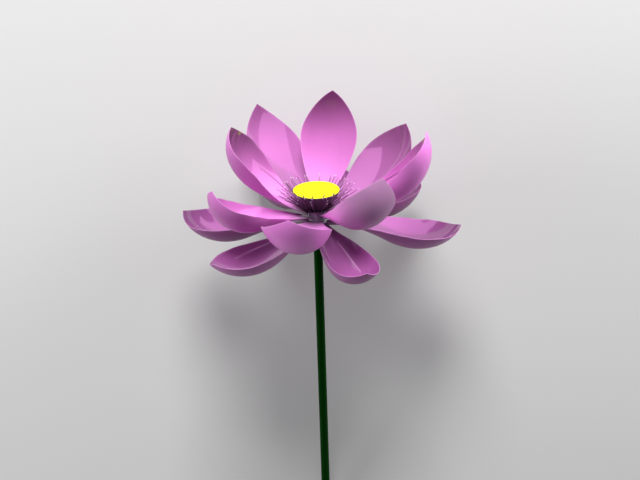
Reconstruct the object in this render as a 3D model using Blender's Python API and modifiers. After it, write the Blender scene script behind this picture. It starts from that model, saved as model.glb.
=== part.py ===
"""A lotus bloom on its cut stem, lying on a flat surface.

The flower is built upright round its own axis (+Z through the receptacle, petals turned
about it, 0 degrees at +X) and is then laid down on three points: the tips of two outer
petals and the cut end of the stem. Sizes are in metres.
"""
import math
import random

import bmesh
import bpy
from mathutils import Matrix, Vector
from mathutils.bvhtree import BVHTree

MM = 0.001
GAP = 0.3 * MM                   # left between pieces that grow against each other

# Petal: one outline, cup and curl, which every petal scales
PETAL_LENGTH = 103 * MM          # along the midrib
PETAL_HALF_WIDTH = 25.0 * MM     # round the cupped cross-section, at its widest
PETAL_THICKNESS = 0.8 * MM
PETAL_ROWS = 16                  # faces along the midrib
ROW_CROWDING = 0.08              # draws the rows together at the claw and the tip
PETAL_COLUMNS = 8                # faces across
WIDEST_AT = 0.60                 # share of the length, from the claw
CLAW_SHARE = 0.20                # width of the claw against the widest place
SHOULDER_POWER = 1.75            # how soon the claw opens out
TIP_SHARE = 0.012                # width of the blunt point against the widest place
CUP_RADIUS = 21.4 * MM           # of the cross-section, half way along
CUP_OPENING = 0.50               # growth of that radius from claw to tip
CURL_POWER = 1.8                 # leaves most of the curl to the tip
CLAW_END = 0.42                  # share of the length over which the claw levels out

# Where each petal stands: turn round the axis, lift of its chord above level, twist about
# the chord, rise of the claw and curl of the midrib in degrees; then its length, cup radius
# and width against the shared ones, how full its outline stays toward the tip (a power),
# and the height of its seat in millimetres
PETALS = {
    "petal_inner_1": (75, 57, 9, 14, 105, 0.98, 1.22, 0.97, 1.9, 3.0),
    "petal_inner_2": (118, 35, -6, 21, 80, 1.07, 1.08, 0.87, 2.0, 0.7),
    "petal_inner_3": (178, 52, -7, 21, 113, 0.93, 0.92, 1.20, 3.7, 3.0),
    "petal_inner_4": (210, 27, 2, 54, 147, 0.97, 0.88, 1.12, 3.4, 0.6),
    "petal_inner_5": (260, 24, 0, 31, 108, 1.15, 0.88, 1.04, 3.6, -1.2),
    "petal_inner_6": (307, 37, -24, 44, 156, 1.00, 0.86, 0.97, 2.9, 1.5),
    "petal_inner_7": (346, 43, 1, 22, 124, 1.12, 0.62, 0.96, 3.8, 2.0),
    "petal_inner_8": (28, 39, 17, 0, 83, 0.95, 1.20, 0.94, 2.4, 0.4),
    "petal_outer_1": (77, 4, 0, 40, 110, 0.96, 0.85, 0.95, 3.6, -5.5),
    "petal_outer_2": (112, 4, 2, 40, 105, 1.01, 0.85, 0.98, 3.6, -1.8),
    "petal_outer_3": (168, 2, -1, 52, 124, 1.03, 0.89, 1.06, 3.5, -3.9),
    "petal_outer_4": (225, 2, 9, 28, 96, 0.98, 1.20, 1.15, 2.8, -5.0),
    "petal_outer_5": (288, 2, -4, 34, 102, 1.00, 0.71, 0.98, 2.9, -3.1),
    "petal_outer_6": (357, -1, -7, 58, 112, 1.03, 1.25, 1.14, 3.7, -5.5),
    "petal_outer_7": (40, 4, -10, 39, 113, 1.02, 0.77, 0.91, 3.6, -3.2),
}
SEAT_RADIUS = 6.6 * MM           # where the claws stand round the neck

# Receptacle: a neck that carries the petals, opening into a flat-topped cone
NECK_RADIUS = 6.1 * MM
NECK_BOTTOM = -7.5 * MM
TAPER_HEIGHT = 1.2 * MM          # of the foot of the neck, down to the stem
TAPER_RADIUS = 4.06 * MM
CONE_BOTTOM = 7.6 * MM
CONE_TOP = 21.0 * MM
CONE_RADIUS = 16.9 * MM
RIM_ROUNDING = 0.5 * MM
RECEPTACLE_SIDES = 40

# Stem
STEM_RADIUS = 3.25 * MM
STEM_TOP = -10.0 * MM            # under the taper of the neck
STEM_END = -255 * MM             # the cut
STEM_SIDES_RESOLUTION = 2
STEM_STEPS = 12

# Stamens: rings of slim filaments that lean out from a collar round the neck
COLLAR_BOTTOM = 5.4 * MM
COLLAR_TOP = 7.2 * MM
COLLAR_OUTER = 8.8 * MM
STAMEN_RINGS = 4
STAMENS_IN_RING = 16
STAMEN_ROOT_RADIUS = 7.9 * MM
STAMEN_ROOT_HEIGHT = 6.4 * MM
STAMEN_TIP_RADIUS = 20.8 * MM    # of the innermost ring
STAMEN_TIP_HEIGHT = 24.6 * MM
STAMEN_RING_STEP = 3.3 * MM      # each further ring leans out by this much at its tips
STAMEN_RING_DROP = 0.7 * MM
STAMEN_PHASE = math.radians(-6.3)  # turn of the first filament of each ring
STAMEN_TURN_SPREAD = 0.12        # of a filament's place in its ring, either way
STAMEN_SHORTEST = 0.93           # share of the full length
STAMEN_ROOT_WIDTH = 0.72 * MM
STAMEN_TIP_WIDTH = 0.88 * MM
STAMEN_CLEARANCE = 1.0 * MM      # from a filament's axis to a petal's middle surface
STAMEN_LEAN_STEP = 0.25          # by which a filament is bent in until it is clear
STAMEN_SIDES = 4
CHECK_POINTS = 24                # along a filament

LYING_TILT = math.radians(20)    # first guess of how far the stem rises from the ground
SUPPORTS = ("petal_outer_1", "petal_outer_2", "stem")
SETTLING_ROUNDS = 12
SHARP_ANGLE = math.radians(40)


def clear_scene():
    for obj in list(bpy.data.objects):
        bpy.data.objects.remove(obj, do_unlink=True)


def new_collection(name):
    collection = bpy.data.collections.new(name)
    bpy.context.scene.collection.children.link(collection)
    return collection


def material(name, color, roughness):
    mat = bpy.data.materials.new(name)
    mat.use_nodes = True
    shader = mat.node_tree.nodes["Principled BSDF"]
    shader.inputs["Base Color"].default_value = (*color, 1.0)
    shader.inputs["Roughness"].default_value = roughness
    shader.inputs["Metallic"].default_value = 0.0
    return mat


def add_object(name, data, collection, mat, parent=None):
    obj = bpy.data.objects.new(name, data)
    collection.objects.link(obj)
    data.materials.append(mat)
    obj.parent = parent
    return obj


def apply_modifiers(obj):
    """Give the object the mesh that its modifiers make, and drop them."""
    depsgraph = bpy.context.evaluated_depsgraph_get()
    mesh = bpy.data.meshes.new_from_object(obj.evaluated_get(depsgraph))
    old = obj.data
    obj.modifiers.clear()
    obj.data = mesh
    if isinstance(old, bpy.types.Mesh):
        bpy.data.meshes.remove(old)


# Petals

def half_width(along, tip_power):
    """Half width at a share of the length, from 0 to 1."""
    if along < WIDEST_AT:
        opening = math.sin(0.5 * math.pi * along / WIDEST_AT) ** SHOULDER_POWER
        return CLAW_SHARE + (1 - CLAW_SHARE) * opening
    toward_tip = (along - WIDEST_AT) / (1 - WIDEST_AT)
    return max(1 - toward_tip ** tip_power, TIP_SHARE)


def row_shares():
    """Shares of the length at which the rows of faces lie."""
    even = [i / PETAL_ROWS for i in range(PETAL_ROWS + 1)]
    return [share - ROW_CROWDING * math.sin(2 * math.pi * share) for share in even]


def midrib(length, rise, curl, shares):
    """Points and slopes of the midrib in its own plane, with its chord level."""
    slopes = [curl * share ** CURL_POWER + rise * max(1 - share / CLAW_END, 0) for share in shares]
    points = [Vector((0, 0))]
    for i in range(1, len(shares)):
        slope = 0.5 * (slopes[i - 1] + slopes[i])
        step = length * (shares[i] - shares[i - 1])
        points.append(points[-1] + step * Vector((math.cos(slope), math.sin(slope))))
    chord = math.atan2(points[-1].y, points[-1].x)
    level = Matrix.Rotation(-chord, 2)
    return [level @ point for point in points], [slope - chord for slope in slopes]


def petal_surface(name, rise, curl, length_scale, cup_scale, width_scale, tip_power):
    """A thin grid bent to the cupped, curled middle surface of one petal."""
    length = PETAL_LENGTH * length_scale
    shares = row_shares()
    points, slopes = midrib(length, math.radians(rise), math.radians(curl), shares)
    shell = bmesh.new()
    bmesh.ops.create_grid(shell, x_segments=PETAL_ROWS, y_segments=PETAL_COLUMNS, size=1)
    for vert in shell.verts:
        row = round((vert.co.x + 1) / 2 * PETAL_ROWS)
        along = shares[row]
        radius = CUP_RADIUS * length_scale * cup_scale * (1 + CUP_OPENING * (along - 0.5))
        width = PETAL_HALF_WIDTH * length_scale * width_scale * half_width(along, tip_power)
        angle = vert.co.y * width / radius
        rise = radius * (1 - math.cos(angle))
        vert.co = (points[row].x - math.sin(slopes[row]) * rise,
                   radius * math.sin(angle),
                   points[row].y + math.cos(slopes[row]) * rise)
    bmesh.ops.triangulate(shell, faces=shell.faces)
    mesh = bpy.data.meshes.new(name)
    shell.to_mesh(mesh)
    shell.free()
    mesh.shade_smooth()
    return mesh


def add_petal(name, place, collection, mat, axis):
    turn, lift, twist, *form, seat = place
    mesh = petal_surface(name, *form)
    petal = add_object(name, mesh, collection, mat, axis)
    petal.matrix_local = (Matrix.Rotation(math.radians(turn), 4, "Z")
                          @ Matrix.Translation((SEAT_RADIUS, 0, seat * MM))
                          @ Matrix.Rotation(-math.radians(lift), 4, "Y")
                          @ Matrix.Rotation(math.radians(twist), 4, "X"))
    skin = petal.modifiers.new("thickness", "SOLIDIFY")
    skin.thickness = PETAL_THICKNESS
    skin.offset = 0
    return petal


# Receptacle and stem

def turned(name, profile, sides, collection, mat, axis):
    """A closed solid turned round the axis from a profile that runs top to bottom."""
    mesh = bpy.data.meshes.new(name)
    edges = [(i, i + 1) for i in range(len(profile) - 1)]
    mesh.from_pydata([(radius, 0, height) for radius, height in profile], edges, [])
    obj = add_object(name, mesh, collection, mat, axis)
    screw = obj.modifiers.new("turn", "SCREW")
    screw.steps = screw.render_steps = sides
    screw.use_merge_vertices = True
    screw.merge_threshold = 0.00001
    return obj


def receptacle_profile():
    rim = [(CONE_RADIUS - RIM_ROUNDING * (1 - math.sin(angle)),
            CONE_TOP - RIM_ROUNDING * (1 - math.cos(angle)))
           for angle in (0, math.pi / 4, math.pi / 2)]
    neck = [(NECK_RADIUS, CONE_BOTTOM - GAP), (NECK_RADIUS, NECK_BOTTOM)]
    foot = STEM_TOP + GAP
    taper = [(TAPER_RADIUS, foot + TAPER_HEIGHT), (STEM_RADIUS, foot)]
    return [(0, CONE_TOP)] + rim + neck + taper + [(0, foot)]


def add_stem(collection, mat, axis):
    curve = bpy.data.curves.new("stem", "CURVE")
    curve.dimensions = "3D"
    curve.bevel_depth = STEM_RADIUS
    curve.bevel_resolution = STEM_SIDES_RESOLUTION
    curve.use_fill_caps = True
    line = curve.splines.new("POLY")
    line.points.add(STEM_STEPS)
    for i, point in enumerate(line.points):
        height = STEM_TOP + (STEM_END - STEM_TOP) * i / STEM_STEPS
        point.co = (0, 0, height, 1)
    return add_object("stem", curve, collection, mat, axis)


# Stamens

def stamen_ends(ring, turn, lean):
    """Root and tip of a filament that takes a share, lean, of its ring's full spread."""
    outward = Vector((math.cos(turn), math.sin(turn), 0))
    root = outward * STAMEN_ROOT_RADIUS + Vector((0, 0, STAMEN_ROOT_HEIGHT))
    spread = (STAMEN_TIP_RADIUS - STAMEN_ROOT_RADIUS) + STAMEN_RING_STEP * ring * lean
    rise = STAMEN_TIP_HEIGHT - STAMEN_ROOT_HEIGHT - STAMEN_RING_DROP * ring * lean
    return root, root + outward * spread + Vector((0, 0, rise))


def clear_of(trees, root, tip):
    samples = [root.lerp(tip, i / CHECK_POINTS) for i in range(1, CHECK_POINTS + 1)]
    return all(tree.find_nearest(point, STAMEN_CLEARANCE)[0] is None
               for tree in trees for point in samples)


def stamen_lines(petals):
    """Ends of every filament, each bent in until it is clear of the petals."""
    draw = random.Random(7)
    bpy.context.view_layer.update()
    trees = [BVHTree.FromPolygons([petal.matrix_local @ v.co for v in petal.data.vertices],
                                  [f.vertices for f in petal.data.polygons])
             for petal in petals]
    lines = []
    for ring in range(STAMEN_RINGS):
        for i in range(STAMENS_IN_RING):
            place = i + draw.uniform(-STAMEN_TURN_SPREAD, STAMEN_TURN_SPREAD)
            turn = STAMEN_PHASE + 2 * math.pi * place / STAMENS_IN_RING
            reach = draw.uniform(STAMEN_SHORTEST, 1)
            lean = 1.0
            root, tip = stamen_ends(ring, turn, lean)
            while not clear_of(trees, root, tip) and lean > 0:
                lean -= STAMEN_LEAN_STEP
                root, tip = stamen_ends(ring, turn, lean)
            if clear_of(trees, root, tip):
                lines.append((root, root.lerp(tip, reach)))
    return lines


def add_filament(root, tip, collection):
    """A slim four-sided spike along one line, a little thicker at its tip."""
    spike = bmesh.new()
    bmesh.ops.create_cone(spike, cap_ends=True, segments=STAMEN_SIDES, depth=(tip - root).length,
                          radius1=STAMEN_ROOT_WIDTH / 2, radius2=STAMEN_TIP_WIDTH / 2)
    mesh = bpy.data.meshes.new("filament")
    spike.to_mesh(mesh)
    spike.free()
    filament = bpy.data.objects.new("filament", mesh)
    collection.objects.link(filament)
    upright = (tip - root).to_track_quat("Z", "Y").to_matrix().to_4x4()
    filament.matrix_world = Matrix.Translation(root.lerp(tip, 0.5)) @ upright
    filament.hide_render = True
    filament.display_type = "WIRE"


def add_stamens(petals, collection, mat, axis):
    """The collar and all its filaments, joined in one body."""
    inner = NECK_RADIUS + GAP
    profile = [(inner, COLLAR_TOP), (COLLAR_OUTER - GAP, COLLAR_TOP), (COLLAR_OUTER, COLLAR_TOP - GAP),
               (COLLAR_OUTER, COLLAR_BOTTOM + 3 * GAP), (inner, COLLAR_BOTTOM), (inner, COLLAR_TOP)]
    collar = turned("stamens", profile, 3 * STAMENS_IN_RING, collection, mat, axis)
    spikes = new_collection("filaments")
    for root, tip in stamen_lines(petals):
        add_filament(root, tip, spikes)
    union = collar.modifiers.new("join", "BOOLEAN")
    union.operation = "UNION"
    union.operand_type = "COLLECTION"
    union.collection = spikes
    union.solver = "EXACT"
    bpy.context.view_layer.update()
    apply_modifiers(collar)
    for filament in list(spikes.objects):
        bpy.data.objects.remove(filament, do_unlink=True)
    bpy.data.collections.remove(spikes)
    return collar


# Lying down

def world_points(obj):
    depsgraph = bpy.context.evaluated_depsgraph_get()
    solid = obj.evaluated_get(depsgraph)
    mesh = solid.to_mesh()
    points = [solid.matrix_world @ vert.co for vert in mesh.vertices]
    solid.to_mesh_clear()
    return points


def lay_down(axis, pieces):
    """Turn the flower until its three supports share the ground, and centre it there."""
    bpy.context.view_layer.update()
    upright = {name: world_points(obj) for name, obj in pieces.items()}
    turn = Matrix.Rotation(LYING_TILT - math.pi / 2, 3, "X")
    for _ in range(SETTLING_ROUNDS):
        left, right, end = [min((turn @ point for point in upright[name]), key=lambda p: p.z)
                            for name in SUPPORTS]
        normal = (right - left).cross(end - left)
        if normal.z < 0:
            normal.negate()
        turn = normal.rotation_difference(Vector((0, 0, 1))).to_matrix() @ turn
        stem = turn @ Vector((0, 0, 1))
        turn = Matrix.Rotation(math.atan2(stem.x, stem.y), 3, "Z") @ turn
    lying = [turn @ point for points in upright.values() for point in points]
    low = Vector([min(point[i] for point in lying) for i in range(3)])
    high = Vector([max(point[i] for point in lying) for i in range(3)])
    axis.matrix_world = Matrix.Translation((-0.5 * (low.x + high.x), -0.5 * (low.y + high.y),
                                            -low.z)) @ turn.to_4x4()


def build():
    clear_scene()
    flower = new_collection("lotus_flower")
    axis = bpy.data.objects.new("flower_axis", None)
    flower.objects.link(axis)
    petal_mats = {"inner": material("inner_petal", (0.66, 0.27, 0.60), 0.35),
                  "outer": material("outer_petal", (0.60, 0.24, 0.54), 0.38)}
    yellow = material("receptacle", (0.90, 0.85, 0.05), 0.5)
    purple = material("stamen", (0.20, 0.06, 0.18), 0.5)
    green = material("stem", (0.01, 0.05, 0.012), 0.45)

    pieces = {}
    for name, place in PETALS.items():
        tier = name.split("_")[1]
        pieces[name] = add_petal(name, place, flower, petal_mats[tier], axis)
    petals = list(pieces.values())
    pieces["receptacle"] = turned("receptacle", receptacle_profile(), RECEPTACLE_SIDES,
                                  flower, yellow, axis)
    pieces["stem"] = add_stem(flower, green, axis)
    pieces["stamens"] = add_stamens(petals, flower, purple, axis)
    for name in ("receptacle", "stamens"):
        pieces[name].data.shade_smooth()
        pieces[name].data.set_sharp_from_angle(angle=SHARP_ANGLE)
    lay_down(axis, pieces)


build()
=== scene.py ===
# A cut lotus flower lying on a pale table: fine petals, stamens, receptacle and stem over the plain part
import math
import random

import bpy
import numpy as np
from mathutils import Matrix, Vector
from mathutils.bvhtree import BVHTree


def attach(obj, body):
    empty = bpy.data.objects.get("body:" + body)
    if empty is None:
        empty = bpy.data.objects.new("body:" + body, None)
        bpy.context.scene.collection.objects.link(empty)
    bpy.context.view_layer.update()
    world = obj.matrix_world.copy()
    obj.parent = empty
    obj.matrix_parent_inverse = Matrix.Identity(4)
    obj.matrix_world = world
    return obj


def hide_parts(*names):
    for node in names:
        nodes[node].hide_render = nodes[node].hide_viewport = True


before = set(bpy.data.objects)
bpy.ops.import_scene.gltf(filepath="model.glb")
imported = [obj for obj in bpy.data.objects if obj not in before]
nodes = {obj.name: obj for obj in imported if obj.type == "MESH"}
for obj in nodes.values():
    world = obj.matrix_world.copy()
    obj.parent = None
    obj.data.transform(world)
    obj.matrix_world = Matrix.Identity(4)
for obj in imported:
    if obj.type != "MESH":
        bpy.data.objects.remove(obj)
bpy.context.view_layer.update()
print("frame loaded,", len(nodes), "nodes")

mm = 0.001


def addPiece(name, points, faces, materials, slotName, sharp, *replaced):
    mesh = bpy.data.meshes.new(name)
    mesh.from_pydata([tuple(p) for p in points], [], faces)
    for material in materials:
        mesh.materials.append(material)
    mesh.shade_smooth()
    piece = bpy.data.objects.new(name, mesh)
    bpy.context.scene.collection.objects.link(piece)
    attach(piece, "root")
    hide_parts(*replaced)
    mesh.set_sharp_from_angle(angle=math.radians(sharp))
    return piece


def addAttribute(piece, name, values):
    layer = piece.data.attributes.new(name, "FLOAT", "POINT")
    layer.data.foreach_set("value", np.asarray(values, np.float32).ravel())


def moved(points, matrix):
    turn = np.array(matrix)
    return np.asarray(points) @ turn[:3, :3].T + turn[:3, 3]


def share(value, start, end):
    # how far a value is from start to end, held between 0 and 1
    return np.clip((value - start) / (end - start), 0, 1)


def gridFaces(rows, columns, start=0, flip=False):
    faces = []
    for i in range(rows):
        for j in range(columns):
            a = start + i * (columns + 1) + j
            quad = (a, a + 1, a + columns + 2, a + columns + 1)
            faces.append(quad[::-1] if flip else quad)
    return faces


def turnedRings(profile, sides):
    return [(r * math.cos(2 * math.pi * j / sides), r * math.sin(2 * math.pi * j / sides), z)
            for r, z in profile for j in range(sides)]


def ringFaces(first, second, sides):
    # the band of faces between two rings, given by the number of each ring's first point
    return [(second + j, second + (j + 1) % sides, first + (j + 1) % sides, first + j)
            for j in range(sides)]


def tubeFaces(rings, sides, start=0):
    # the faces over a row of rings, closed at both ends
    last = start + (rings - 1) * sides
    faces = [face for i in range(start, last, sides) for face in ringFaces(i, i + sides, sides)]
    faces.append(tuple(range(start, start + sides)))
    faces.append(tuple(range(last, last + sides))[::-1])
    return faces


def aroundShares(rings, sides):
    # how far round each point of a turned solid is: 1 at +X, falling to 0 on the opposite side
    return np.tile(np.abs(np.linspace(-1, 1, sides, endpoint=False)), rings)


# the form that all petals share: places along it are shares of its length, and the claw and the
# tip are shares of its width
petalForm = {
    "length": 103 * mm, "halfWidth": 25.0 * mm, "widestAt": 0.6, "claw": 0.20, "shoulder": 1.75,
    "tip": 0.006, "cup": 21.4 * mm, "cupOpening": 0.5, "curlPower": 1.8, "clawEnd": 0.42,
    "seatRadius": 6.6 * mm, "thickness": 0.72 * mm, "edgeThickness": 0.3 * mm,
    "sideThinning": 2, "tipThinning": 6, "sharp": 60, "midribSteps": 400,
    "rows": 72, "columns": 56, "rowCrowding": 0.08, "columnCrowding": 0.35,
    "coarseRows": 32, "coarseColumns": 16,
}

# where each petal stands: turn, lift, twist, rise of the claw and curl in degrees, then its length,
# cup and width against the form, the fullness of its tip, and the height of its seat in mm
petalPlaces = {
    "petal_inner_1": (75, 57, 9, 14, 105, 0.98, 1.22, 0.97, 1.9, 3.0),
    "petal_inner_2": (118, 35, -6, 21, 80, 1.07, 1.08, 0.87, 2.0, 0.7),
    "petal_inner_3": (178, 52, -7, 21, 113, 0.93, 0.92, 1.20, 3.7, 3.0),
    "petal_inner_4": (210, 27, 2, 54, 147, 0.97, 0.88, 1.12, 3.4, 0.6),
    "petal_inner_5": (260, 24, 0, 31, 108, 1.15, 0.88, 1.04, 3.6, -1.2),
    "petal_inner_6": (307, 37, -24, 44, 156, 1.00, 0.86, 0.97, 2.9, 1.5),
    "petal_inner_7": (346, 43, 1, 22, 124, 1.12, 0.62, 0.96, 3.8, 2.0),
    "petal_inner_8": (28, 39, 17, 0, 83, 0.95, 1.20, 0.94, 2.4, 0.4),
    "petal_outer_1": (77, 4, 0, 40, 110, 0.96, 0.85, 0.95, 3.6, -5.5),
    "petal_outer_2": (112, 4, 2, 40, 105, 1.01, 0.85, 0.98, 3.6, -1.8),
    "petal_outer_3": (168, 2, -1, 52, 124, 1.03, 0.89, 1.06, 3.5, -3.9),
    "petal_outer_4": (225, 2, 9, 28, 96, 0.98, 1.20, 1.15, 2.8, -5.0),
    "petal_outer_5": (288, 2, -4, 34, 102, 1.00, 0.71, 0.98, 2.9, -3.1),
    "petal_outer_6": (357, -1, -7, 58, 112, 1.03, 1.25, 1.14, 3.7, -5.5),
    "petal_outer_7": (40, 4, -10, 39, 113, 1.02, 0.77, 0.91, 3.6, -3.2),
}


def halfWidth(along, fullness):
    form = petalForm
    opening = np.sin(0.5 * np.pi * np.minimum(along / form["widestAt"], 1)) ** form["shoulder"]
    closing = 1 - share(along, form["widestAt"], 1) ** fullness
    rising = form["claw"] + (1 - form["claw"]) * opening
    return np.maximum(np.where(along < form["widestAt"], rising, closing), form["tip"])


def midrib(length, rise, curl, along):
    # reach and height of the midrib with its chord level, and its slope, at each share of the length
    steps = petalForm["midribSteps"]
    fine = np.linspace(0, 1, steps + 1)
    bend = curl * fine ** petalForm["curlPower"]
    slope = bend + rise * np.maximum(1 - fine / petalForm["clawEnd"], 0)
    half = 0.5 * length / steps
    reach = np.concatenate(([0], np.cumsum((np.cos(slope[1:]) + np.cos(slope[:-1])) * half)))
    height = np.concatenate(([0], np.cumsum((np.sin(slope[1:]) + np.sin(slope[:-1])) * half)))
    chord = math.atan2(height[-1], reach[-1])
    levelReach = reach * math.cos(chord) + height * math.sin(chord)
    levelHeight = height * math.cos(chord) - reach * math.sin(chord)
    return (np.interp(along, fine, levelReach), np.interp(along, fine, levelHeight),
            np.interp(along, fine, slope) - chord)


def petalSurface(place, along, across):
    # middle surface of a petal, and the distance of each point from the midrib
    rise, curl, longer, cup, wider, fullness = place[3:9]
    form = petalForm
    length = form["length"] * longer
    reach, height, slope = midrib(length, math.radians(rise), math.radians(curl), along)
    width = form["halfWidth"] * longer * wider * halfWidth(along, fullness)
    radius = form["cup"] * longer * cup * (1 + form["cupOpening"] * (along - 0.5))
    side = across[None, :] * width[:, None]
    angle = side / radius[:, None]
    depth = radius[:, None] * (1 - np.cos(angle))
    points = np.stack((reach[:, None] - np.sin(slope)[:, None] * depth,
                       radius[:, None] * np.sin(angle),
                       height[:, None] + np.cos(slope)[:, None] * depth), axis=-1)
    return points, side


def petalPlace(place):
    turn, lift, twist, *_, seat = place
    return (Matrix.Rotation(math.radians(turn), 4, "Z")
            @ Matrix.Translation((petalForm["seatRadius"], 0, seat * mm))
            @ Matrix.Rotation(-math.radians(lift), 4, "Y")
            @ Matrix.Rotation(math.radians(twist), 4, "X"))


def coarsePetal(place):
    # a petal's middle surface on a coarse grid, in the flower's own frame
    rows, columns = petalForm["coarseRows"], petalForm["coarseColumns"]
    points, _ = petalSurface(place, np.linspace(0, 1, rows + 1), np.linspace(-1, 1, columns + 1))
    return moved(points.reshape(-1, 3), petalPlace(place)), gridFaces(rows, columns)


def surfaceCentre(points, faces):
    a, b, c = (points[faces[:, i]] for i in range(3))
    area = np.linalg.norm(np.cross(b - a, c - a), axis=1)
    return (area[:, None] * (a + b + c) / 3).sum(axis=0) / area.sum()


def triangles(quads):
    return np.array([t for q in quads for t in ((q[0], q[1], q[2]), (q[0], q[2], q[3]))])


def placeFlower():
    # the lying flower's place: the turn and shift that bring the petals onto the part's own
    here, there = [], []
    for name, place in petalPlaces.items():
        points, faces = coarsePetal(place)
        here.append(surfaceCentre(points, triangles(faces)))
        mesh = nodes[name].data
        mesh.calc_loop_triangles()
        corners = np.array([v.co for v in mesh.vertices])
        there.append(surfaceCentre(corners, np.array([t.vertices for t in mesh.loop_triangles])))
    here, there = np.array(here), np.array(there)
    middleHere, middleThere = here.mean(axis=0), there.mean(axis=0)
    u, _, vt = np.linalg.svd((here - middleHere).T @ (there - middleThere))
    turn = vt.T @ np.diag((1, 1, np.sign(np.linalg.det(vt.T @ u.T)))) @ u.T
    shift = middleThere - turn @ middleHere
    missed = np.abs(here @ turn.T + shift - there).max()
    print("flower placed, petals within %.2f mm" % (missed / mm))
    lying = Matrix.Identity(4)
    for i in range(3):
        for j in range(3):
            lying[i][j] = turn[i, j]
        lying[i][3] = shift[i]
    return lying


flowerPlace = placeFlower()


def newMaterial(name, shaderValues):
    material = bpy.data.materials.new(name)
    material.use_nodes = True
    shader = material.node_tree.nodes["Principled BSDF"]
    for socket, value in shaderValues.items():
        shader.inputs[socket].default_value = value
    return material, material.node_tree, shader


def newGroup(name, inputs, outputs):
    tree = bpy.data.node_groups.new(name, "ShaderNodeTree")
    for socket, (kind, value) in inputs.items():
        made = tree.interface.new_socket(name=socket, in_out="INPUT", socket_type=kind)
        made.default_value = value
    for socket, kind in outputs.items():
        tree.interface.new_socket(name=socket, in_out="OUTPUT", socket_type=kind)
    return tree, tree.nodes.new("NodeGroupInput"), tree.nodes.new("NodeGroupOutput")


def mathNode(tree, operation, first, second, third=None):
    node = tree.nodes.new("ShaderNodeMath")
    node.operation = operation
    for i, value in enumerate((first, second, third)):
        if value is None:
            continue
        if isinstance(value, (int, float)):
            node.inputs[i].default_value = value
        else:
            tree.links.new(value, node.inputs[i])
    return node.outputs[0]


def mixColor(tree, amount, first, second, blend="MIX"):
    node = tree.nodes.new("ShaderNodeMix")
    node.data_type = "RGBA"
    node.blend_type = blend
    # sockets 0, 6 and 7 of a colour mix are its factor and its two colours, 2 is its result
    for i, value in ((0, amount), (6, first), (7, second)):
        if isinstance(value, (int, float)):
            node.inputs[i].default_value = value
        elif isinstance(value, tuple):
            node.inputs[i].default_value = (*value, 1)
        else:
            tree.links.new(value, node.inputs[i])
    return node.outputs[2]


def scaledWhite(tree, value):
    node = tree.nodes.new("ShaderNodeCombineColor")
    for socket in ("Red", "Green", "Blue"):
        tree.links.new(value, node.inputs[socket])
    return node.outputs["Color"]


def fade(tree, value, start, end):
    node = tree.nodes.new("ShaderNodeMapRange")
    node.interpolation_type = "SMOOTHSTEP"
    node.inputs["From Min"].default_value = start
    node.inputs["From Max"].default_value = end
    tree.links.new(value, node.inputs["Value"])
    return node.outputs["Result"]


def readAttribute(tree, name):
    node = tree.nodes.new("ShaderNodeAttribute")
    node.attribute_name = name
    return node.outputs["Fac"]


def noiseNode(tree, vector, scale, detail, roughness=0.55):
    node = tree.nodes.new("ShaderNodeTexNoise")
    for socket, value in (("Scale", scale), ("Detail", detail), ("Roughness", roughness)):
        node.inputs[socket].default_value = value
    tree.links.new(vector, node.inputs["Vector"])
    return node.outputs["Fac"]


def grainNode(tree, scale, detail):
    return noiseNode(tree, tree.nodes.new("ShaderNodeTexCoord").outputs["Object"], scale, detail)


def addBump(tree, shader, height, strength, distance):
    node = tree.nodes.new("ShaderNodeBump")
    node.inputs["Strength"].default_value = strength
    node.inputs["Distance"].default_value = distance
    tree.links.new(height, node.inputs["Height"])
    tree.links.new(node.outputs["Normal"], shader.inputs["Normal"])


def makeStrands():
    # fine strands that run along a piece: how far a point is across them, and how far along
    group, into, out = newGroup("strands", {
        "Across": ("NodeSocketFloat", 0.0), "Along": ("NodeSocketFloat", 0.0),
        "Count": ("NodeSocketFloat", 30.0), "Run": ("NodeSocketFloat", 2.0),
        "Seed": ("NodeSocketFloat", 0.0)}, {"Mask": "NodeSocketFloat"})
    join = group.nodes.new("ShaderNodeCombineXYZ")
    across = mathNode(group, "MULTIPLY", into.outputs["Across"], into.outputs["Count"])
    along = mathNode(group, "MULTIPLY", into.outputs["Along"], into.outputs["Run"])
    group.links.new(across, join.inputs["X"])
    group.links.new(along, join.inputs["Y"])
    group.links.new(into.outputs["Seed"], join.inputs["Z"])
    group.links.new(noiseNode(group, join.outputs["Vector"], 1.0, 2), out.inputs["Mask"])
    return group


strands = makeStrands()


def addStrands(tree, acrossName, values):
    # the strands in a material, with the piece's attributes for across and along
    node = tree.nodes.new("ShaderNodeGroup")
    node.node_tree = strands
    for socket, value in values.items():
        node.inputs[socket].default_value = value
    tree.links.new(readAttribute(tree, acrossName), node.inputs["Across"])
    tree.links.new(readAttribute(tree, "along"), node.inputs["Along"])
    return node


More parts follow.
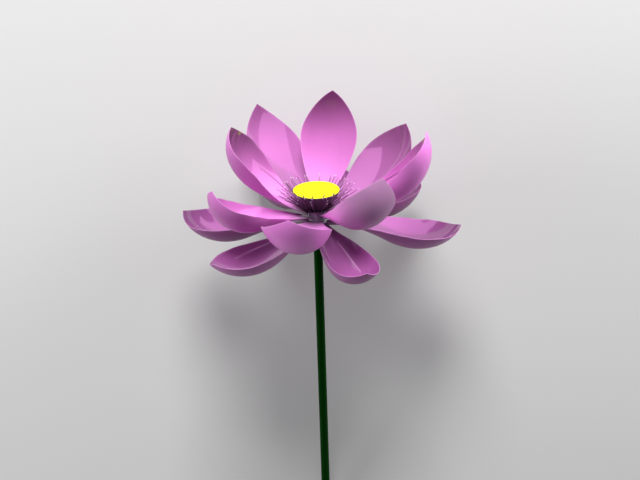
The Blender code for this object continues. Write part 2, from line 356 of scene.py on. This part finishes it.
# the petals' colours and surface: a fade has its start and end along the petal, a bump its
# strength and depth; the darkening from claw to tip is partly the petals' own deeper colour
# and partly painted shade
petalFinish = {
    "inner": {"claw": (0.88, 0.31, 0.80), "middle": (0.64, 0.19, 0.56), "tip": (0.26, 0.07, 0.22),
              "back": (0.58, 0.17, 0.51), "backTip": (0.62, 0.18, 0.54)},
    "outer": {"claw": (0.82, 0.28, 0.75), "middle": (0.62, 0.18, 0.55), "tip": (0.36, 0.10, 0.32),
              "back": (0.44, 0.12, 0.38), "backTip": (0.46, 0.13, 0.40)},
    # the foot colour is painted shade that darkens the claws towards the neck
    "foot": (0.14, 0.05, 0.13), "lilac": (0.62, 0.30, 0.57), "rimHighlight": (0.90, 0.46, 0.83),
    "pale": (0.93, 0.55, 0.88), "paintedShade": (0.05, 0.015, 0.045),
    "clawShadeFade": (0.0, 0.2), "clawFade": (0.12, 0.62), "tipFade": (0.55, 1.0), "backFade": (0.4, 1.0),
    "veins": {"Count": 34.0, "Run": 1.4}, "veinShow": 0.05, "veinRough": 0.1, "veinSeed": 7.3,
    "veinBump": (0.12, 0.2 * mm), "roughness": 0.42, "backGloss": 0.12, "lilacPetal": "petal_inner_6",
    "shader": {"Specular IOR Level": 0.2, "Coat Roughness": 0.03, "Coat IOR": 1.7},
    # the rim colour is a painted highlight along the petals' edges
    "rimShow": 0.3, "rimHighlightWidth": 0.5 * mm,
    # the dark line colour is painted shade
    "paleShow": 0.7, "paintedShadeShow": 0.9, "lineWidth": 0.42 * mm, "lineTaper": 0.4,
}

# painted light and shade, lighter or darker than the rest: on the face at the claw and the
# tip, on the back the same, and how waxy the face is
petalShadeAndGloss = {
    "petal_inner_1": (0.96, 0.8, 1.0, 1.0, 0.1),
    "petal_inner_2": (0.32, 1.12, 1.0, 1.0, 0.85),
    "petal_inner_3": (1.12, 0.4, 0.5, 1.05, 1.0),
    "petal_inner_4": (1.08, 0.9, 1.3, 0.85, 1.0),
    "petal_inner_5": (1.1, 1.25, 0.1, 1.7, 1.0),
    "petal_inner_6": (1.0, 1.0, 1.3, 0.48, 1.0),
    "petal_inner_7": (1.1, 0.8, 0.9, 1.5, 1.0),
    "petal_inner_8": (0.42, 0.78, 1.0, 1.0, 1.0),
    "petal_outer_1": (0.6, 0.8, 1.0, 1.0, 1.0),
    "petal_outer_2": (0.5, 0.7, 0.4, 0.7, 0.5),
    "petal_outer_3": (0.5, 0.6, 0.6, 0.8, 1.0),
    "petal_outer_4": (0.2, 0.72, 1.0, 1.0, 1.0),
    "petal_outer_5": (0.1, 1.05, 0.65, 0.87, 1.0),
    "petal_outer_6": (0.85, 0.6, 1.0, 1.1, 1.0),
    "petal_outer_7": (0.6, 0.6, 0.5, 0.6, 0.5),
}

# the thin lines on a few petals' faces: place across at both ends, start and end along, and
# whether the line is pale (1) or a dark line of painted shade (-1)
petalLines = {
    "petal_inner_3": (-0.92, -0.66, 0.17, 0.50, -1),
    "petal_inner_7": (0.90, 0.80, 0.34, 0.55, -1),
    "petal_outer_4": (-0.76, -0.72, 0.25, 0.62, 1),
    "petal_outer_5": (0.42, 0.42, 0.22, 0.62, 1),
}


def petalColor(tree, tier, along):
    # from claw to tip on the face and on the back, darker towards the tip: partly the petal's own deeper
    # colour, partly painted shade
    look, shared = petalFinish[tier], petalFinish
    face = mixColor(tree, fade(tree, along, *shared["clawFade"]), look["claw"], look["middle"])
    face = mixColor(tree, fade(tree, along, *shared["tipFade"]), face, look["tip"])
    behind = mixColor(tree, fade(tree, along, *shared["backFade"]), look["back"], look["backTip"])
    behind = mixColor(tree, readAttribute(tree, "lilac"), behind, shared["lilac"])
    return mixColor(tree, readAttribute(tree, "back"), face, behind)


def petalMaterial(tier):
    look = petalFinish
    material, tree, shader = newMaterial(tier + "Petal", look["shader"])
    along = readAttribute(tree, "along")
    color = petalColor(tree, tier, along)
    lines = addStrands(tree, "across", look["veins"])
    tree.links.new(readAttribute(tree, "seed"), lines.inputs["Seed"])
    veins = lines.outputs["Mask"]
    tone = mathNode(tree, "MULTIPLY_ADD", veins, look["veinShow"], 1 - look["veinShow"] / 2)
    # painted light and shade: each petal lighter or darker from claw to tip, on face and back
    tone = mathNode(tree, "MULTIPLY", tone, readAttribute(tree, "tone"))
    color = mixColor(tree, 1.0, color, scaledWhite(tree, tone), "MULTIPLY")
    # the pale rim laid on here is a painted highlight, a dark line painted shade
    for mask, mark in (("paleLine", "pale"), ("paintedShadeLine", "paintedShade"), ("rim", "rimHighlight")):
        color = mixColor(tree, readAttribute(tree, mask), color, look[mark])
    # painted shade: the claws darken towards the neck
    color = mixColor(tree, fade(tree, along, *look["clawShadeFade"]), look["foot"], color)
    smoothest = look["roughness"] - look["veinRough"] / 2
    rough = mathNode(tree, "MULTIPLY_ADD", veins, look["veinRough"], smoothest)
    tree.links.new(color, shader.inputs["Base Color"])
    tree.links.new(rough, shader.inputs["Roughness"])
    tree.links.new(readAttribute(tree, "gloss"), shader.inputs["Coat Weight"])
    addBump(tree, shader, veins, *look["veinBump"])
    return material


def petalColumns():
    # columns drawn together at both sides
    even = np.linspace(-1, 1, petalForm["columns"] + 1)
    crowding = petalForm["columnCrowding"]
    return np.sin(0.5 * np.pi * even) * crowding + (1 - crowding) * even


def petalRows():
    # rows drawn together at the claw and the tip
    even = np.linspace(0, 1, petalForm["rows"] + 1)
    return even - petalForm["rowCrowding"] * np.sin(2 * np.pi * even)


def petalSkins(points, along, across):
    # the face and the back of a petal, each half of the thickness from its middle surface
    form = petalForm
    normal = np.cross(np.gradient(points, axis=0), np.gradient(points, axis=1))
    normal /= np.linalg.norm(normal, axis=-1, keepdims=True)
    thinning = np.maximum(np.abs(across)[None, :] ** form["sideThinning"],
                          along[:, None] ** form["tipThinning"])
    thick = form["edgeThickness"] + (form["thickness"] - form["edgeThickness"]) * (1 - thinning)
    half = normal * (thick / 2)[..., None]
    return np.concatenate(((points + half).reshape(-1, 3), (points - half).reshape(-1, 3)))


def petalFaces(rows, columns):
    count = (rows + 1) * (columns + 1)
    faces = gridFaces(rows, columns, flip=True) + gridFaces(rows, columns, count)
    rim = ([j for j in range(columns + 1)]
           + [i * (columns + 1) + columns for i in range(1, rows + 1)]
           + [rows * (columns + 1) + j for j in range(columns - 1, -1, -1)]
           + [i * (columns + 1) for i in range(rows - 1, 0, -1)])
    for a, b in zip(rim, rim[1:] + rim[:1]):
        faces.append((a, b, b + count, a + count))
    return faces


def bothSides(values):
    return np.concatenate((values.ravel(), values.ravel()))


def addPetalMarks(piece, name, along, side):
    # the thin line on the face, which is painted shade where it is dark, and the pale rim round both
    # sides, a painted highlight along the edge
    look = petalFinish
    first, last, start, end, kind = petalLines.get(name, (0, 0, 0, 1, 0))
    far = share(along, start, end)
    width = np.abs(side[:, -1])
    off = side - ((first + (last - first) * far) * width)[:, None]
    line = np.exp(-(off / look["lineWidth"]) ** 2) * (np.sin(np.pi * far) ** look["lineTaper"])[:, None]
    line = np.concatenate((line.ravel(), np.zeros(side.size)))
    rim = np.exp((np.abs(side) - width[:, None]) / look["rimHighlightWidth"])
    addAttribute(piece, "paleLine", line * look["paleShow"] * (kind > 0))
    # the dark line is painted shade
    addAttribute(piece, "paintedShadeLine", line * look["paintedShadeShow"] * (kind < 0))
    # the pale rim is a painted highlight
    addAttribute(piece, "rim", bothSides(rim) * look["rimShow"])


def addPetalShading(piece, name, along, across, seed):
    shape = (len(along), len(across))
    count = len(along) * len(across)
    low, high, backLow, backHigh, gloss = petalShadeAndGloss[name]
    paintedShades = [np.broadcast_to((start + (end - start) * along)[:, None], shape).ravel()
             for start, end in ((low, high), (backLow, backHigh))]
    addAttribute(piece, "along", bothSides(np.broadcast_to(along[:, None], shape)))
    addAttribute(piece, "across", bothSides(np.broadcast_to(across[None, :], shape)))
    # painted light and shade on the face and the back
    addAttribute(piece, "tone", np.concatenate(paintedShades))
    addAttribute(piece, "gloss", np.repeat((gloss, petalFinish["backGloss"]), count))
    addAttribute(piece, "lilac", np.full(2 * count, float(name == petalFinish["lilacPetal"])))
    addAttribute(piece, "back", np.repeat((0.0, 1.0), count))
    addAttribute(piece, "seed", np.full(2 * count, seed))


def buildPetal(name, place, tier, seed):
    along, across = petalRows(), petalColumns()
    points, side = petalSurface(place, along, across)
    whole = moved(petalSkins(points, along, across), flowerPlace @ petalPlace(place))
    faces = petalFaces(petalForm["rows"], petalForm["columns"])
    piece = addPiece("fine_" + name, whole, faces, [petalMaterials[tier]], tier + "_petal",
                     petalForm["sharp"], name)
    addPetalShading(piece, name, along, across, seed)
    addPetalMarks(piece, name, along, side)


petalMaterials = {tier: petalMaterial(tier) for tier in ("inner", "outer")}
for number, (name, place) in enumerate(petalPlaces.items()):
    buildPetal(name, place, name.split("_")[1], petalFinish["veinSeed"] * number)
print("petals built")


# the receptacle: a flat yellow disc with a rounded rim, on a purple cone and its neck
receptacle = {
    "neckRadius": 6.1 * mm, "neckBottom": -7.5 * mm, "coneBottom": 7.3 * mm, "top": 21 * mm,
    "radius": 16.9 * mm, "rim": 0.5 * mm, "dish": 0.25 * mm, "neckStep": 1 * mm,
    "footRadius": 3.25 * mm, "foot": -9.7 * mm, "footFlare": 1.25, "footRise": 1.2 * mm,
    "discRings": (0.02, 0.2, 0.4, 0.6, 0.75, 0.86, 0.93), "rimSteps": 4, "coneRings": 12,
    "coneStart": 0.05, "neckRings": 6, "sides": 96, "sharp": 50,
}
receptacleFinish = {
    "yellow": (0.98, 0.98, 0.012), "yellowDeep": (0.95, 0.93, 0.010), "yellowRim": (0.55, 0.42, 0.01),
    "rimBand": 0.8 * mm, "rimShow": 0.6, "grain": (900.0, 4), "grainFade": (0.35, 0.65),
    "grainBump": (0.15, 0.2 * mm),
    # the pale purple of the cone's streaks is a painted highlight; the ribs themselves are a bump
    "purple": (0.048, 0.040, 0.042), "streakHighlight": (0.16, 0.08, 0.15), "neck": (0.31, 0.30, 0.35),
    "neckBand": 3 * mm, "ribsAndHighlights": {"Count": 26.0, "Run": 1.0, "Seed": 3.0}, "streakHighlightFade": (0.45, 0.75),
    "ribBump": (0.3, 0.4 * mm),
    "topShader": {"Specular IOR Level": 0.06, "Roughness": 0.6},
    "coneShader": {"Specular IOR Level": 0.35, "Roughness": 0.32},
}


def yellowMaterial():
    look = receptacleFinish
    material, tree, shader = newMaterial("yellowTop", look["topShader"])
    grain = grainNode(tree, *look["grain"])
    color = mixColor(tree, fade(tree, grain, *look["grainFade"]), look["yellowDeep"], look["yellow"])
    color = mixColor(tree, readAttribute(tree, "rim"), color, look["yellowRim"])
    tree.links.new(color, shader.inputs["Base Color"])
    addBump(tree, shader, grain, *look["grainBump"])
    return material


def purpleMaterial():
    look = receptacleFinish
    material, tree, shader = newMaterial("purpleCone", look["coneShader"])
    ribsAndHighlights = addStrands(tree, "around", look["ribsAndHighlights"]).outputs["Mask"]
    # painted highlight: pale streaks along the cone's ribs
    color = mixColor(tree, fade(tree, ribsAndHighlights, *look["streakHighlightFade"]), look["purple"], look["streakHighlight"])
    color = mixColor(tree, readAttribute(tree, "neck"), color, look["neck"])
    tree.links.new(color, shader.inputs["Base Color"])
    addBump(tree, shader, ribsAndHighlights, *look["ribBump"])
    return material


def buildReceptacle():
    r, look = receptacle, receptacleFinish
    sides = r["sides"]
    disc = [(r["radius"] * s, r["top"] - r["dish"] * (1 - s) ** 2) for s in r["discRings"]]
    turns = [0.5 * math.pi * i / r["rimSteps"] for i in range(r["rimSteps"] + 1)]
    rim = [(r["radius"] - r["rim"] * (1 - math.sin(a)), r["top"] - r["rim"] * (1 - math.cos(a)))
           for a in turns]
    coneTop = r["top"] - r["rim"]
    cone = [(r["radius"] + (r["neckRadius"] - r["radius"]) * t,
             coneTop + (r["coneBottom"] - coneTop) * t)
            for t in np.linspace(r["coneStart"], 1, r["coneRings"])]
    neckTop = r["coneBottom"] - r["neckStep"]
    neck = [(r["neckRadius"], z) for z in np.linspace(neckTop, r["neckBottom"], r["neckRings"])]
    foot = [(r["footRadius"] * r["footFlare"], r["foot"] + r["footRise"]), (r["footRadius"], r["foot"])]
    profile = disc + rim + cone + neck + foot
    points = moved(turnedRings(profile, sides), flowerPlace)
    piece = addPiece("fine_receptacle", points, tubeFaces(len(profile), sides),
                     [yellowMaterial(), purpleMaterial()], "receptacle", r["sharp"], "receptacle")
    yellowRings = len(disc) + 2
    for face in piece.data.polygons:
        face.material_index = 0 if max(face.vertices) < yellowRings * sides else 1
    radii, heights = np.repeat(profile, sides, axis=0).T
    nearRim = share(radii, r["radius"] - look["rimBand"], r["radius"]) * (heights > coneTop)
    addAttribute(piece, "along", heights / r["top"])
    addAttribute(piece, "around", aroundShares(len(profile), sides))
    addAttribute(piece, "neck", share(heights, r["coneBottom"], r["coneBottom"] - look["neckBand"]))
    addAttribute(piece, "rim", nearRim * look["rimShow"])


buildReceptacle()
print("receptacle built")


# four rings of stamens, where a filament leans in until it clears the petals: shares of its
# length say where it tapers, where the anther lies and where the tip rounds off
stamenForm = {
    "rings": 4, "inRing": 16, "phase": math.radians(-6.3), "turnSpread": 0.12, "shortest": 0.93,
    "rootRadius": 7.9 * mm, "rootHeight": 6.4 * mm, "tipRadius": 20.8 * mm, "tipHeight": 24.6 * mm,
    "ringStep": 3.3 * mm, "ringDrop": 0.7 * mm, "clearance": 1.0 * mm, "leanStep": 0.25,
    "checks": 24, "placeSeed": 7, "firstReach": 0.06,
    "rootThick": 0.34 * mm, "taper": 0.15 * mm, "taperEnd": 0.3,
    "antherThick": 0.07 * mm, "antherAt": (0.62, 0.95),
    "frontThick": 0.16 * mm, "frontAt": (0.7, 0.8), "tipFrom": 0.97, "tipShare": 0.75,
    "steps": 16, "sides": 8, "dotDown": 3, "bow": 0.5 * mm, "lowestBow": -0.2, "bowSeed": 11,
    "collar": ((6.4, 7.2), (8.5, 7.2), (8.8, 6.9), (8.8, 6.3), (6.4, 5.4)), "collarSides": 64,
    "sharp": 60,
}
stamenFinish = {
    "root": (0.03, 0.010, 0.027), "middle": (0.07, 0.022, 0.065), "anther": (0.60, 0.30, 0.56),
    "tip": (0.95, 0.86, 0.94), "middleFade": (0.1, 0.6), "antherFade": (0.55, 0.75),
    # how strong the painted light on the filaments towards the back is
    "paintedLight": 0.45, "leastPaintedLight": 0.2,
    "grain": (1500.0, 2), "grainDark": (0.02, 0.01, 0.02), "grainPale": (1, 1, 1), "grainShow": 0.25,
    "grainBump": (0.2, 0.2 * mm), "shader": {"Roughness": 0.35},
}


def stamenEnds(ring, turn, lean):
    form = stamenForm
    outward = Vector((math.cos(turn), math.sin(turn), 0))
    root = outward * form["rootRadius"] + Vector((0, 0, form["rootHeight"]))
    spread = form["tipRadius"] - form["rootRadius"] + form["ringStep"] * ring * lean
    rise = form["tipHeight"] - form["rootHeight"] - form["ringDrop"] * ring * lean
    return root, root + outward * spread + Vector((0, 0, rise))


def petalTrees():
    trees = []
    for place in petalPlaces.values():
        points, faces = coarsePetal(place)
        trees.append(BVHTree.FromPolygons([tuple(p) for p in points], faces))
    return trees


def clearOf(trees, root, tip):
    form = stamenForm
    samples = [root.lerp(tip, i / form["checks"]) for i in range(1, form["checks"] + 1)]
    return all(tree.find_nearest(p, form["clearance"])[0] is None for tree in trees for p in samples)


def stamenLines():
    form = stamenForm
    draw = random.Random(form["placeSeed"])
    trees = petalTrees()
    lines = []
    for ring in range(form["rings"]):
        for i in range(form["inRing"]):
            place = i + draw.uniform(-form["turnSpread"], form["turnSpread"])
            turn = form["phase"] + 2 * math.pi * place / form["inRing"]
            reach = draw.uniform(form["shortest"], 1)
            if ring == 0:
                reach += form["firstReach"]
            lean = 1.0
            root, tip = stamenEnds(ring, turn, lean)
            while not clearOf(trees, root, tip) and lean > 0:
                lean -= form["leanStep"]
                root, tip = stamenEnds(ring, turn, lean)
            if clearOf(trees, root, tip):
                lines.append((ring, root, root.lerp(tip, reach)))
    return lines


def stamenRadius(t, front):
    # a slim filament, a longer anther and a small rounded tip, thicker on the first ring's front
    form = stamenForm
    filament = form["rootThick"] - form["taper"] * share(t, 0, form["taperEnd"])
    bulge = max(0, math.sin(math.pi * share(t, *form["antherAt"]))) ** 0.5
    thicker = front * form["frontThick"] * share(t, *form["frontAt"])
    radius = filament + form["antherThick"] * bulge + thicker
    return float(radius * (1 if t < form["tipFrom"] else form["tipShare"]))


def stamenMaterial():
    look = stamenFinish
    material, tree, shader = newMaterial("stamenPurple", look["shader"])
    along = readAttribute(tree, "along")
    color = mixColor(tree, fade(tree, along, *look["middleFade"]), look["root"], look["middle"])
    # painted light: the anther colour shows on the filaments towards the back, as if lit
    anther = mathNode(tree, "MULTIPLY", fade(tree, along, *look["antherFade"]),
                      readAttribute(tree, "behind"))
    color = mixColor(tree, anther, color, look["anther"])
    color = mixColor(tree, readAttribute(tree, "dot"), color, look["tip"])
    grain = grainNode(tree, *look["grain"])
    speckle = mixColor(tree, grain, look["grainDark"], look["grainPale"])
    color = mixColor(tree, look["grainShow"], color, speckle, "OVERLAY")
    tree.links.new(color, shader.inputs["Base Color"])
    addBump(tree, shader, grain, *look["grainBump"])
    return material


def addStamen(made, ring, root, tip, draw):
    # one bowed filament, dotted at its tip, or on the first ring's front just under it
    form, look = stamenForm, stamenFinish
    sides, steps = form["sides"], form["steps"]
    line = tip - root
    sideways = line.cross(Vector((0, 0, 1))).normalized()
    over = sideways.cross(line).normalized()
    bow = sideways * draw.uniform(-1, 1) + over * draw.uniform(form["lowestBow"], 1)
    facing = math.sin(math.atan2(root.y, root.x))
    front = 0.0 if ring else max(0.0, -facing)
    dotStep = steps if ring else steps - form["dotDown"]
    dotShow = 1.0 if ring else front
    # painted light: filaments towards the back are paler, by a random share
    paintedLight = look["paintedLight"] * (1 + facing) * draw.uniform(look["leastPaintedLight"], 1)
    start = len(made["points"])
    for i in range(steps + 1):
        t = i / steps
        middle = root + line * t + bow * (form["bow"] * math.sin(math.pi * t))
        radius = stamenRadius(t, front)
        for j in range(sides):
            a = 2 * math.pi * j / sides
            made["points"].append(middle + radius * (math.cos(a) * sideways + math.sin(a) * over))
        made["along"] += [t] * sides
        made["behind"] += [paintedLight] * sides
        made["dot"] += [dotShow if i == dotStep else 0.0] * sides
    made["faces"] += tubeFaces(steps + 1, sides, start)


def addCollar(made):
    sides = stamenForm["collarSides"]
    collar = [(r * mm, z * mm) for r, z in stamenForm["collar"]]
    start = len(made["points"])
    made["points"] += [Vector(p) for p in turnedRings(collar, sides)]
    for name in ("along", "behind", "dot"):
        made[name] += [0.0] * (len(collar) * sides)
    for i in range(len(collar)):
        here, after = start + i * sides, start + (i + 1) % len(collar) * sides
        made["faces"] += ringFaces(here, after, sides)


def buildStamens():
    draw = random.Random(stamenForm["bowSeed"])
    made = {"points": [], "faces": [], "along": [], "behind": [], "dot": []}
    for ring, root, tip in stamenLines():
        addStamen(made, ring, root, tip, draw)
    addCollar(made)
    piece = addPiece("fine_stamens", moved([tuple(p) for p in made["points"]], flowerPlace),
                     made["faces"], [stamenMaterial()], "stamen", stamenForm["sharp"], "stamens")
    for name in ("along", "behind", "dot"):
        addAttribute(piece, name, made[name])


buildStamens()
print("stamens built")


# the round stem and its bevelled cut
stem = {
    "radius": 3.25 * mm, "top": -10 * mm, "end": -255 * mm, "rings": 120, "sides": 32, "sharp": 50,
    "shoulder": 0.3 * mm, "cutEdge": (0.12 * mm, 0.25 * mm), "cutRings": (0.7, 0.3),
    "skin": (0.0001, 0.028, 0.0006), "skinPale": (0.0003, 0.046, 0.0012), "cut": (0.35, 0.42, 0.22),
    "fibres": {"Count": 22.0, "Run": 9.0, "Seed": 5.0}, "fibreFade": (0.4, 0.75),
    "fibreBump": (0.3, 0.3 * mm), "roughness": 0.32, "fibreRough": 0.2,
    "shader": {"Specular IOR Level": 0.04},
}


def stemMaterial():
    material, tree, shader = newMaterial("stemGreen", stem["shader"])
    fibres = addStrands(tree, "around", stem["fibres"]).outputs["Mask"]
    color = mixColor(tree, fade(tree, fibres, *stem["fibreFade"]), stem["skin"], stem["skinPale"])
    color = mixColor(tree, readAttribute(tree, "cut"), color, stem["cut"])
    rough = mathNode(tree, "MULTIPLY_ADD", fibres, stem["fibreRough"], stem["roughness"])
    tree.links.new(color, shader.inputs["Base Color"])
    tree.links.new(rough, shader.inputs["Roughness"])
    addBump(tree, shader, fibres, *stem["fibreBump"])
    return material


def buildStem():
    s = stem
    edgeIn, edgeUp = s["cutEdge"]
    heights = [s["top"] + (s["end"] - s["top"]) * t for t in np.linspace(0, 1, s["rings"] + 1)]
    skin = [(s["radius"] - s["shoulder"], s["top"])] + [(s["radius"], z) for z in heights[1:-1]]
    skin.append((s["radius"], s["end"] + edgeUp))
    cut = [(s["radius"] - edgeIn, s["end"])] + [(s["radius"] * r, s["end"]) for r in s["cutRings"]]
    profile = skin + cut
    points = moved(turnedRings(profile, s["sides"]), flowerPlace)
    piece = addPiece("fine_stem", points, tubeFaces(len(profile), s["sides"]), [stemMaterial()],
                     "stem", s["sharp"], "stem")
    addAttribute(piece, "along", np.repeat([z / s["end"] for _, z in profile], s["sides"]))
    addAttribute(piece, "around", aroundShares(len(profile), s["sides"]))
    addAttribute(piece, "cut", np.repeat([0.0] * len(skin) + [1.0] * len(cut), s["sides"]))


buildStem()
print("stem built")


# table, lights and camera: the lights and the camera are placed in the flower's own frame
studio = {
    "table": (0.60, 0.595, 0.59), "tableSize": 8.0,
    "tableShader": {"Roughness": 0.65, "Specular IOR Level": 0.0},
    "world": (0.94, 0.95, 1.0), "worldStrength": 0.22, "bloom": (0, 0, 20 * mm),
    "lights": {
        "key": {"place": (-0.05, -0.40, 1.15), "size": (0.5, 0.5), "power": 17},
        "left": {"place": (-0.95, -0.25, 0.15), "size": (0.5, 0.5), "power": 4.5},
        "right": {"place": (0.90, 0.05, 0.45), "size": (0.5, 0.5), "power": 8.5},
        "panel": {"place": (0.18, -0.45, 1.25), "size": (2.1, 2.9), "power": 52,
                  "color": (1.0, 0.42, 0.92), "mirrored": True},
    },
    "camera": {"above": 24.4, "roll": 1.8, "distance": 864 * mm, "right": 2.09 * mm,
               "up": -16.74 * mm, "lens": 67.5, "sensor": 36},
}


def addTable():
    size = studio["tableSize"] / 2
    mesh = bpy.data.meshes.new("table")
    mesh.from_pydata([(-size, -size, 0), (size, -size, 0), (size, size, 0), (-size, size, 0)], [],
                     [(0, 1, 2, 3)])
    material, _, shader = newMaterial("tableTop", studio["tableShader"])
    shader.inputs["Base Color"].default_value = (*studio["table"], 1)
    mesh.materials.append(material)
    table = bpy.data.objects.new("table", mesh)
    bpy.context.scene.collection.objects.link(table)


def addLight(name, look):
    # a mirrored light shows only in the gloss of the petals, the others only light them
    lamp = bpy.data.lights.new(name, "AREA")
    lamp.energy = look["power"]
    lamp.color = look.get("color", (1, 1, 1))
    lamp.shape = "RECTANGLE"
    lamp.size, lamp.size_y = look["size"]
    light = bpy.data.objects.new(name, lamp)
    light.location = flowerPlace @ Vector(look["place"])
    toBloom = flowerPlace @ Vector(studio["bloom"]) - light.location
    light.rotation_euler = toBloom.to_track_quat("-Z", "Y").to_euler()
    light.visible_glossy = look.get("mirrored", False)
    light.visible_diffuse = not light.visible_glossy
    bpy.context.scene.collection.objects.link(light)


def addCamera():
    # seen from a little above the bloom's rim, square to the stem
    look = studio["camera"]
    above, roll = math.radians(look["above"]), math.radians(look["roll"])
    right = Vector((1, 0, 0))
    up = Vector((0, math.sin(above), math.cos(above)))
    back = Vector((0, -math.cos(above), math.sin(above)))
    lensRight = right * math.cos(roll) - up * math.sin(roll)
    lensUp = right * math.sin(roll) + up * math.cos(roll)
    view = Matrix((lensRight, lensUp, back)).transposed().to_4x4()
    view.translation = lensRight * look["right"] + lensUp * look["up"] + back * look["distance"]
    lens = bpy.data.cameras.new("camera")
    lens.sensor_width = look["sensor"]
    lens.lens = look["lens"]
    camera = bpy.data.objects.new("camera", lens)
    bpy.context.scene.collection.objects.link(camera)
    camera.matrix_world = flowerPlace @ view
    bpy.context.scene.camera = camera


def addWorld():
    world = bpy.data.worlds.new("studio")
    world.use_nodes = True
    background = world.node_tree.nodes["Background"]
    background.inputs["Color"].default_value = (*studio["world"], 1)
    background.inputs["Strength"].default_value = studio["worldStrength"]
    bpy.context.scene.world = world
    bpy.context.scene.view_settings.view_transform = "Standard"


addTable()
for name, look in studio["lights"].items():
    addLight(name, look)
addCamera()
addWorld()
print("studio set")
